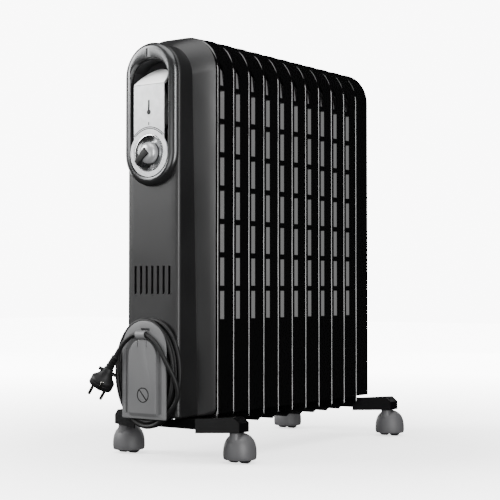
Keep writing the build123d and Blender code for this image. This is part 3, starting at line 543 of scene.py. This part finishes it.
def slab(low, high):
    """A plain block between two corners, used only as a start or as a cutting tool."""
    deselect()
    middle = [(start + end) / 2 for start, end in zip(low, high)]
    bpy.ops.mesh.primitive_cube_add(size=1, location=middle)
    block = bpy.context.object
    bpy.ops.transform.resize(value=[end - start for start, end in zip(low, high)], center_override=middle)
    bpy.ops.object.transform_apply(location=True, rotation=True, scale=True)
    return block


def flat_ring(radius, thickness, segments):
    """A thin flattened ring round the Z axis."""
    deselect()
    bpy.ops.mesh.primitive_torus_add(major_radius=radius, minor_radius=thickness, major_segments=segments,
                                     minor_segments=8)
    ring = bpy.context.object
    bpy.ops.transform.resize(value=(1, 1, 0.3))
    bpy.ops.object.transform_apply(location=True, rotation=True, scale=True)
    return ring


def move_points(piece, test, step):
    """Moves the points that pass the test by one step."""
    bpy.context.view_layer.objects.active = piece
    bpy.ops.object.mode_set(mode="EDIT")
    pick_points(test)
    bpy.ops.transform.translate(value=step)
    bpy.ops.object.mode_set(mode="OBJECT")


# Seen by someone who stands in front of the panel.
FORWARDS = (-1, 0, 0)
TO_THE_RIGHT = (0, -1, 0)

# ------------------------------------------------------------------ control panel

# The surround goes from the face forwards over its shoulder, into the opening and back. Each row gives the
# X, half the width, the bottom, the top, and the radii at the top and the bottom.
BEZEL_OUTLINES = [
    (FACE, 0.0500, 0.4110, 0.6260, 0.0497, 0.0497),
    (FACE - 0.0026, 0.0497, 0.4113, 0.6257, 0.0494, 0.0494),
    (FACE - 0.0050, 0.0484, 0.4124, 0.6246, 0.0481, 0.0481),
    (FACE - 0.0069, 0.0462, 0.4140, 0.6230, 0.0459, 0.0459),
    (FACE - 0.0082, 0.0432, 0.4158, 0.6212, 0.0429, 0.0429),
    (FACE - 0.0089, 0.0400, 0.4176, 0.6194, 0.0397, 0.0397),
    (FACE - 0.0091, 0.0384, 0.4190, 0.6180, 0.0381, 0.0381),
    (FACE - 0.0091, 0.0376, 0.4216, 0.6030, 0.0310, 0.0373),
    (FACE - 0.0086, 0.0370, 0.4228, 0.6015, 0.0303, 0.0367),
    (FACE - 0.0074, 0.0366, 0.4234, 0.6007, 0.0300, 0.0363),
    (FACE, 0.0366, 0.4234, 0.6007, 0.0300, 0.0363),
]
bezel = skinned(BEZEL_OUTLINES + BEZEL_OUTLINES[:1])
notch = slab((FACE - 0.0110, 0.0026, 0.6040), (FACE - 0.0060, 0.0051, 0.6170))
cut_away(bezel, notch)
done(bezel, "panel_surround", "heater", bezel_plating, ["handle_bezel"])

# The bowl and the dome are turned: a radius and a height for each ring.
DISH_RINGS = [(0.0279, -0.0056), (0.0279, -0.0004), (0.0272, 0.0), (0.0262, 0.0), (0.0256, -0.0004),
              (0.0242, -0.0014), (0.0222, -0.0024), (0.0198, -0.0032), (0.0170, -0.0038), (0.0060, -0.0040)]
dish = stand(turned(DISH_RINGS, 96), (PLATE_X + 0.0002, 0, DIAL_Z), FORWARDS)
done(dish, "dial_bowl", "heater", dish_plating, ["dial_dish"])

KNOB_RINGS = [(0.0155, -0.0032), (0.0160, -0.0026), (0.0160, 0.0010), (0.0157, 0.0026), (0.0149, 0.0045),
              (0.0136, 0.0061), (0.0116, 0.0075), (0.0090, 0.0086), (0.0060, 0.0092), (0.0025, 0.0095)]
knob_dome = stand(turned(KNOB_RINGS, 72), (PLATE_X, 0, DIAL_Z), FORWARDS)
done(knob_dome, "dial_dome", "knob", knob_paint, ["selector_knob"])

# The pointer narrows towards its tip, which slopes down to the bowl, and leans in at its tail.
POINTER_TIP = 0.0262
POINTER_TURN = radians(-39)
pointer = slab((-0.0060, -0.0066, 0.0004), (POINTER_TIP, 0.0066, 0.0116))
bpy.ops.object.mode_set(mode="EDIT")
pick_points(lambda place: place.x > 0.02)
bpy.ops.transform.resize(value=(1, 0.66, 1), center_override=(POINTER_TIP, 0, 0))
bpy.ops.object.mode_set(mode="OBJECT")
move_points(pointer, lambda place: place.x > 0.02 and place.z > 0.005, (-0.0020, 0, -0.0030))
move_points(pointer, lambda place: place.x < 0 and place.z > 0.005, (0.0020, 0, 0))
with_modifier(pointer, "BEVEL", width=0.0012, segments=4, limit_method="NONE")
stand(pointer, (PLATE_X, 0, DIAL_Z), FORWARDS, (0, cos(POINTER_TURN), sin(POINTER_TURN)))
done(pointer, "dial_pointer", "knob", pointer_black)

# A pale half round rest that slopes back from the plate, under the fingers; its near-white colour is partly
# its own pale silver and partly a painted highlight for the strong light on the scoop.
REST_HALF = 0.0284
REST_LENGTH = 0.0398
PLATE_TOP = 0.5624
REST_SLOPE = (-0.657, 0, 0.754)
deselect()
bpy.ops.mesh.primitive_circle_add(vertices=96, radius=1, fill_type="NGON", location=(0, 0, 0))
grip_rest = bpy.context.object
bpy.ops.transform.resize(value=(REST_HALF, REST_LENGTH, 1))
bpy.ops.object.transform_apply(location=True, rotation=True, scale=True)
bpy.ops.object.mode_set(mode="EDIT")
pick_points(lambda place: place.y < -0.0002)
bpy.ops.mesh.delete(type="VERT")
bpy.ops.mesh.select_all(action="SELECT")
bpy.ops.mesh.edge_face_add()
bpy.ops.mesh.extrude_region_move(TRANSFORM_OT_translate={"value": (0, 0, 0.0008)})
bpy.ops.mesh.select_all(action="SELECT")
bpy.ops.mesh.normals_make_consistent(inside=False)
bpy.ops.object.mode_set(mode="OBJECT")
with_modifier(grip_rest, "BEVEL", width=0.0003, segments=3, limit_method="ANGLE")
stand(grip_rest, (PLATE_X - 0.0002, 0, PLATE_TOP), REST_SLOPE, TO_THE_RIGHT)
done(grip_rest, "grip_rest", "heater", rest_highlight_paint)

# Plain marks on the plate: a widening arc over the dial, a tick at its middle and a small thermometer.
INNER_ARC_R = 0.0362
for radius, name in ((INNER_ARC_R, "scale_arc_inner"), (0.0386, "scale_arc_outer")):
    scale_arc = flat_ring(radius, 0.0007, 120)
    bpy.ops.object.mode_set(mode="EDIT")
    pick_points(lambda place: place.y < 0.0245 + 0.02 * (radius - INNER_ARC_R))
    bpy.ops.mesh.delete(type="VERT")
    bpy.ops.mesh.select_all(action="SELECT")
    bpy.ops.mesh.fill_holes(sides=0)
    bpy.ops.mesh.select_all(action="SELECT")
    bpy.ops.mesh.normals_make_consistent(inside=False)
    bpy.ops.object.mode_set(mode="OBJECT")
    stand(scale_arc, (PLATE_X - 0.0001, 0, DIAL_Z), FORWARDS, TO_THE_RIGHT)
    done(scale_arc, name, "heater", pointer_black)
for name, low, high in (("scale_tick", (-0.0009, 0.0415, -0.0001), (0.0009, 0.0462, 0.00012)),
                        ("mark_stem", (-0.0016, 0.0620, -0.0001), (0.0016, 0.0790, 0.00012))):
    mark = slab(low, high)
    with_modifier(mark, "BEVEL", width=0.0001, segments=2, limit_method="NONE")
    stand(mark, (PLATE_X - 0.0001, 0, DIAL_Z), FORWARDS, TO_THE_RIGHT)
    done(mark, name, "heater", pointer_black)
mark_bulb = turned([(0.0038, 0.0), (0.0038, 0.0001), (0.0036, 0.00015)], 32)
stand(mark_bulb, (PLATE_X - 0.00005, 0, DIAL_Z + 0.0610), FORWARDS)
done(mark_bulb, "mark_bulb", "heater", pointer_black)

# ------------------------------------------------------------------ front cover

RIM = FIN_1 - 0.005
CREASE = FIN_1 - 0.013
EDGE_R = 0.0065
LEAN = 0.0269
WALL = 0.0022
COVER_HALF = 0.0500
COVER_BOTTOM = 0.0670
COVER_TOP = 0.6260
COVER_TOP_R = 0.0497
COVER_BOTTOM_R = 0.0040
FLARE_CURVE = radians(75)


def box_outline(x, inset):
    """One outline of the cover's box, drawn in by an inset."""
    return (x, COVER_HALF - inset, COVER_BOTTOM + 0.4 * inset, COVER_TOP - inset, COVER_TOP_R - inset,
            COVER_BOTTOM_R - 0.3 * inset)


def flare_outline(part, inset):
    """One outline on the flare, from the crease (0), which leans, to the rim (1), which stands upright."""
    swell = 0.55 * part + 0.45 * sin(part * FLARE_CURVE) / sin(FLARE_CURVE)
    return (CREASE + part * (RIM - CREASE), COVER_HALF + 0.026 * swell - inset,
            COVER_BOTTOM + 0.003 * part + inset, COVER_TOP + 0.014 * swell - inset,
            COVER_TOP_R + 0.0053 * swell - inset, COVER_BOTTOM_R + 0.0060 * part - 0.3 * inset,
            LEAN * (1 - part))


# The skin runs from the face back to the rim and, drawn in by the wall, forwards again on the inside.
cover_outlines = [box_outline(FACE + EDGE_R * (1 - cos(radians(turn))), EDGE_R * (1 - sin(radians(turn))))
                  for turn in (0, 18, 36, 54, 72, 90)]
cover_outlines += [flare_outline(part, 0.0) for part in (0.0, 0.08, 0.25, 0.45, 0.65, 0.85, 1.0)]
cover_outlines += [flare_outline(part, WALL) for part in (1.0, 0.5, 0.0)]
cover_outlines += [box_outline(FACE + EDGE_R, WALL), box_outline(FACE + WALL, EDGE_R)]
cover = skinned(cover_outlines, fill=True)

VENTS = 7
VENT_PITCH = 0.0109
VENT_HALF = 0.0021
VENT_BOTTOM = 0.248
VENT_TOP = 0.292
vent_middles = [(number - (VENTS - 1) / 2) * VENT_PITCH for number in range(VENTS)]
for slot_y in vent_middles:
    cut_away(cover, slab((FACE - 0.002, slot_y - VENT_HALF, VENT_BOTTOM),
                         (FACE + 0.006, slot_y + VENT_HALF, VENT_TOP)))
PANEL_OPENING = (0.0382, 0.4300, 0.6022, 0.0310, 0.0378)
cut_away(cover, skinned([(FACE - 0.004, *PANEL_OPENING), (FACE + 0.006, *PANEL_OPENING)], fill=True))
for notch_y in (-0.026, 0.026):
    cut_away(cover, slab((RIM - 0.030, notch_y - 0.006, 0.060), (RIM + 0.001, notch_y + 0.006, 0.074)))
done(cover, "cover_shell", "heater", cover_gloss, ["front_cover"], radians(40))

# One dark slanted blade behind each vent slot, and a sloping sill at its foot.
SILL_HALF = VENT_HALF - 0.00001
for number, slot_y in enumerate(vent_middles, 1):
    blade = slab((FACE + 0.0030, slot_y + 0.0054, VENT_BOTTOM - 0.0005),
                 (FACE + 0.0090, slot_y + 0.0062, VENT_TOP + 0.0040))
    move_points(blade, lambda place: place.x > FACE + 0.006, (0, -0.0072, 0))
    with_modifier(blade, "BEVEL", width=0.0002, segments=2, limit_method="NONE")
    done(blade, f"vent_blade_{number}", "heater", vent_black)
    sill = slab((FACE + 0.0001, slot_y - SILL_HALF, VENT_BOTTOM - 0.0002),
                (FACE + 0.0060, slot_y + SILL_HALF, VENT_BOTTOM + 0.0012))
    move_points(sill, lambda place: place.z > VENT_BOTTOM + 0.001 and place.x > FACE + 0.004,
                (0, 0, 0.0036))
    with_modifier(sill, "BEVEL", width=0.0002, segments=2, limit_method="NONE")
    done(sill, f"vent_sill_{number}", "heater", cover_gloss)

# ------------------------------------------------------------------ top louvre tabs

# One tab bent in behind the top opening of a fin, repeated along the row and on the other side.
TAB_Z = 0.5638
FINS_WITH_TABS = 10
tabs = slab((-0.0052, -0.0004, TAB_Z - 0.0002), (0.0052, 0.0004, TAB_Z + 0.0340))
move_points(tabs, lambda place: place.z > TAB_Z + 0.01 and place.x > 0, (0, 0, -0.0160))
with_modifier(tabs, "BEVEL", width=0.00025, segments=2, limit_method="NONE")
tabs.rotation_euler = (0, 0, -atan2(0.0065, 0.0085))
tabs.location = (FIN_1 + 0.0118, -0.0716, 0)
deselect()
tabs.select_set(True)
bpy.context.view_layer.objects.active = tabs
bpy.ops.object.transform_apply(location=True, rotation=True, scale=True)
with_modifier(tabs, "ARRAY", count=FINS_WITH_TABS, use_relative_offset=False, use_constant_offset=True,
              constant_offset_displace=(FIN_PITCH, 0, 0))
with_modifier(tabs, "MIRROR", use_axis=(False, True, False))
done(tabs, "top_louvre_tabs", "heater", enamel)

# ------------------------------------------------------------------ cord wrap

# The flange in front of the drum, with a shallow groove down each side and a slot through it for the clip.
wrap_flange = skinned([(WRAP_BACK, 0.0414, 0.0664, 0.2100, 0.0411, 0.0022),
                       (WRAP_BACK - 0.0006, 0.0420, 0.0660, 0.2106, 0.0417, 0.0025),
                       (WRAP_FLANGE + 0.0012, 0.0420, 0.0660, 0.2106, 0.0417, 0.0025),
                       (WRAP_FLANGE + 0.0003, 0.0416, 0.0664, 0.2102, 0.0413, 0.0022),
                       (WRAP_FLANGE, 0.0408, 0.0670, 0.2094, 0.0405, 0.0018)], fill=True)
for side in (-1, 1):
    low, high = sorted((side * 0.0290, side * 0.0345))
    cut_away(wrap_flange, slab((WRAP_FLANGE - 0.002, low, 0.0740), (WRAP_FLANGE + 0.0017, high, 0.1700)))
cut_away(wrap_flange, slab((WRAP_FLANGE - 0.002, -0.0115, 0.1957), (WRAP_BACK + 0.002, 0.0055, 0.1996)))
done(wrap_flange, "wrap_flange", "heater", wrap_plastic, ["cord_wrap_plate"])

# The raised panel, with two slits at its top under the clip.
wrap_panel = skinned([(WRAP_FLANGE + 0.0004, 0.0274, 0.0690, 0.1842, 0.0271, 0.0030),
                      (WRAP_FLANGE - 0.0020, 0.0270, 0.0722, 0.1840, 0.0267, 0.0030),
                      (WRAP_PANEL + 0.0008, 0.0267, 0.0738, 0.1838, 0.0264, 0.0030),
                      (WRAP_PANEL + 0.0002, 0.0260, 0.0745, 0.1830, 0.0257, 0.0026),
                      (WRAP_PANEL, 0.0250, 0.0754, 0.1820, 0.0247, 0.0022)], fill=True)
for slit_y in (-0.0085, 0.0085):
    cut_away(wrap_panel, slab((WRAP_PANEL - 0.001, slit_y - 0.0006, 0.1720),
                              (WRAP_PANEL + 0.002, slit_y + 0.0006, 0.1830)))
done(wrap_panel, "wrap_panel", "heater", wrap_plastic)

# A plain circle with a bar: not to be covered.
MARK_R = 0.0104
MARK_TURN = radians(48)
mark_ring = flat_ring(MARK_R, 0.0009, 64)
mark_bar = slab((-MARK_R, -0.0009, -0.00025), (MARK_R, 0.0009, 0.00025))
with_modifier(mark_bar, "BEVEL", width=0.00008, segments=2, limit_method="NONE")
for mark, name in ((mark_ring, "cover_mark_ring"), (mark_bar, "cover_mark_bar")):
    stand(mark, (WRAP_PANEL - 0.00006, -0.002, 0.1017), FORWARDS, (0, cos(MARK_TURN), sin(MARK_TURN)))
    done(mark, name, "heater", pointer_black)

# ------------------------------------------------------------------ plug

# The plug goes on where the free end stops. Its ribbed sleeve, shoulder and body are one turned shape, and
# the part past the sleeve is then flattened.
plug_root = Vector(TAIL_ROUTE[-1])
plug_axis = (plug_root - Vector(TAIL_ROUTE[-2])).normalized()
# The two pins stand side by side along this direction.
plug_across = Vector((0.611, -0.702, -0.368))
PLUG_RINGS = [(0.0044, -0.0005), (0.0052, 0.0004), (0.0052, 0.0032), (0.0042, 0.0038), (0.0042, 0.0048),
              (0.0055, 0.0054), (0.0055, 0.0082), (0.0045, 0.0088), (0.0045, 0.0098), (0.0059, 0.0104),
              (0.0059, 0.0132), (0.0048, 0.0138), (0.0048, 0.0148), (0.0064, 0.0154), (0.0064, 0.0184),
              (0.0054, 0.0190), (0.0054, 0.0200), (0.0072, 0.0208), (0.0086, 0.0262), (0.0112, 0.0326),
              (0.0146, 0.0372), (0.0172, 0.0394), (0.0183, 0.0412), (0.0184, 0.0440), (0.0178, 0.0446),
              (0.0178, 0.0458), (0.0184, 0.0464), (0.0184, 0.0518), (0.0176, 0.0530), (0.0140, 0.0530)]
plug = turned(PLUG_RINGS, 48)
bpy.ops.object.mode_set(mode="EDIT")
pick_points(lambda place: place.z > 0.0205)
bpy.ops.transform.resize(value=(1, 0.86, 1), center_override=(0, 0, 0))
bpy.ops.object.mode_set(mode="OBJECT")
stand(plug, plug_root, plug_axis, plug_across)
done(plug, "mains_plug", "heater", plug_plastic, ["plug_body"], radians(38))
for side, wing_name, strip_name in ((-1, "plug_wing_left", "earth_strip_a"),
                                    (1, "plug_wing_right", "earth_strip_b")):
    wing_x = side * 0.0100
    wing = slab((wing_x - 0.0045, -0.0040, 0.0250), (wing_x + 0.0045, 0.0040, 0.0285))
    with_modifier(wing, "BEVEL", width=0.0010, segments=3, limit_method="NONE")
    stand(wing, plug_root, plug_axis, plug_across)
    done(wing, wing_name, "heater", plug_plastic)
    strip_y = side * 0.0152
    strip = slab((-0.0022, strip_y - 0.0010, 0.0385), (0.0022, strip_y + 0.0010, 0.0532))
    with_modifier(strip, "BEVEL", width=0.0004, segments=2, limit_method="NONE")
    stand(strip, plug_root, plug_axis, plug_across)
    done(strip, strip_name, "heater", nickel)

# ------------------------------------------------------------------ casters

# The hood is a hollow ball, drawn from the inside out; the collar round its stem stands ahead by the trail.
HOOD_RINGS = [(0.0040, 0.0420), (0.0130, 0.0390), (0.0186, 0.0330), (0.0214, 0.0262), (0.0229, 0.0180),
              (0.0229, 0.0095), (0.0219, 0.0062), (0.0229, 0.0056), (0.0240, 0.0061), (0.0247, 0.0080),
              (0.0251, 0.0115), (0.0251, 0.0165), (0.0247, 0.0222), (0.0234, 0.0285), (0.0208, 0.0345),
              (0.0168, 0.0392), (0.0118, 0.0426), (0.0064, 0.0446), (0.0014, 0.0452)]
COLLAR_RINGS = [(0.0102, 0.0330), (0.0094, 0.0380), (0.0088, 0.0415), (0.0085, 0.0450), (0.0080, 0.0456),
                (0.0060, 0.0456)]
TRAIL = 0.012
for place in ("front_left", "front_right", "rear_left", "rear_right"):
    stem_low, stem_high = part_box(f"{place}_caster_stem")
    stem_x = (stem_low[0] + stem_high[0]) / 2
    stem_y = (stem_low[1] + stem_high[1]) / 2
    hood = turned(HOOD_RINGS, 56)
    collar = turned(COLLAR_RINGS, 40)
    collar.location = (-TRAIL, 0, 0)
    bpy.context.view_layer.update()
    with_modifier(hood, "BOOLEAN", operation="UNION", solver="EXACT", object=collar)
    bpy.data.objects.remove(collar)
    hood.location = (stem_x + TRAIL, stem_y, 0)
    done(hood, f"{place}_hood_shell", f"{place}_caster", hood_plastic,
         [f"{place}_caster_hood"])

# The first point of the lead is worked out here and not kept.
coil_points()[0]

# ------------------------------------------------------------------ floor and light

FLOOR_SIDE = 14
deselect()
bpy.ops.mesh.primitive_plane_add(size=1, location=(0, 0, 0))
floor = bpy.context.object
floor.name = "studio_floor"
bpy.ops.transform.resize(value=(FLOOR_SIDE, FLOOR_SIDE, 1))
bpy.ops.object.transform_apply(location=False, rotation=False, scale=True)

# The paper glows more and more away from the heater, so that it meets the bright room without a hard line.
floor_paper = bpy.data.materials.new("studio_paper")
floor_paper.use_nodes = True
paper = floor_paper.node_tree
paper_shader = paper.nodes["Principled BSDF"]
paper_shader.inputs["Base Color"].default_value = (0.93, 0.93, 0.93, 1)
paper_shader.inputs["Roughness"].default_value = 0.9
paper_shader.inputs["Emission Color"].default_value = (1, 1, 1, 1)
middle_out = paper.nodes.new("ShaderNodeVectorMath")
middle_out.operation = "LENGTH"
paper.links.new(paper.nodes.new("ShaderNodeTexCoord").outputs["Object"], middle_out.inputs[0])
glow = span(paper, middle_out.outputs["Value"], 0.35, 1.9, 1.6, 9.0)
paper.links.new(glow, paper_shader.inputs["Emission Strength"])
floor.data.materials.append(floor_paper)
floor.visible_glossy = False
floor.visible_diffuse = False


def soft_light(name, place, aim, wide, tall, power):
    """A soft box at a place, aimed at a point."""
    data = bpy.data.lights.new(name, "AREA")
    data.shape = "RECTANGLE"
    data.size = wide
    data.size_y = tall
    data.energy = power
    lamp = bpy.data.objects.new(name, data)
    bpy.context.scene.collection.objects.link(lamp)
    lamp.location = place
    lamp.rotation_euler = (Vector(aim) - Vector(place)).to_track_quat("-Z", "Y").to_euler()


# The long upright boxes stand where the bends of the fins and the louvres mirror them.
soft_light("near_softbox", (-1.75, -2.35, 0.50), (0, 0, 0.35), 0.8, 2.4, 105)
soft_light("right_softbox", (-0.87, -3.01, 0.50), (0.1, 0, 0.35), 1.2, 2.4, 27)
soft_light("left_softbox", (-1.75, 1.95, 1.60), (-0.2, 0, 0.45), 1.1, 1.5, 120)
soft_light("front_softbox", (-2.9, 0.0, 0.15), (-0.2, 0, 0.2), 0.9, 1.2, 18)
soft_light("far_softbox", (0.7, 2.9, 0.9), (0, 0, 0.35), 1.8, 2.0, 45)
soft_light("rear_softbox", (3.0, 0.6, 0.9), (0, 0, 0.35), 1.0, 1.6, 16)
soft_light("top_softbox", (-0.6, -0.5, 2.8), (0, 0, 0), 2.6, 2.4, 85)

# The room is bright all round for the camera and for soft light, and dark where the enamel mirrors it.
world = bpy.data.worlds.new("studio_world")
bpy.context.scene.world = world
world.use_nodes = True
room = world.node_tree
backdrop = room.nodes["Background"]
backdrop.inputs["Color"].default_value = (1, 1, 1, 1)
seen = room.nodes.new("ShaderNodeLightPath")
all_round = span(room, seen.outputs["Is Glossy Ray"], 0.0, 1.0, 1.1, 0.006)
behind = maths(room, "MULTIPLY", seen.outputs["Is Camera Ray"], 8.0)
room.links.new(maths(room, "ADD", all_round, behind), backdrop.inputs["Strength"])
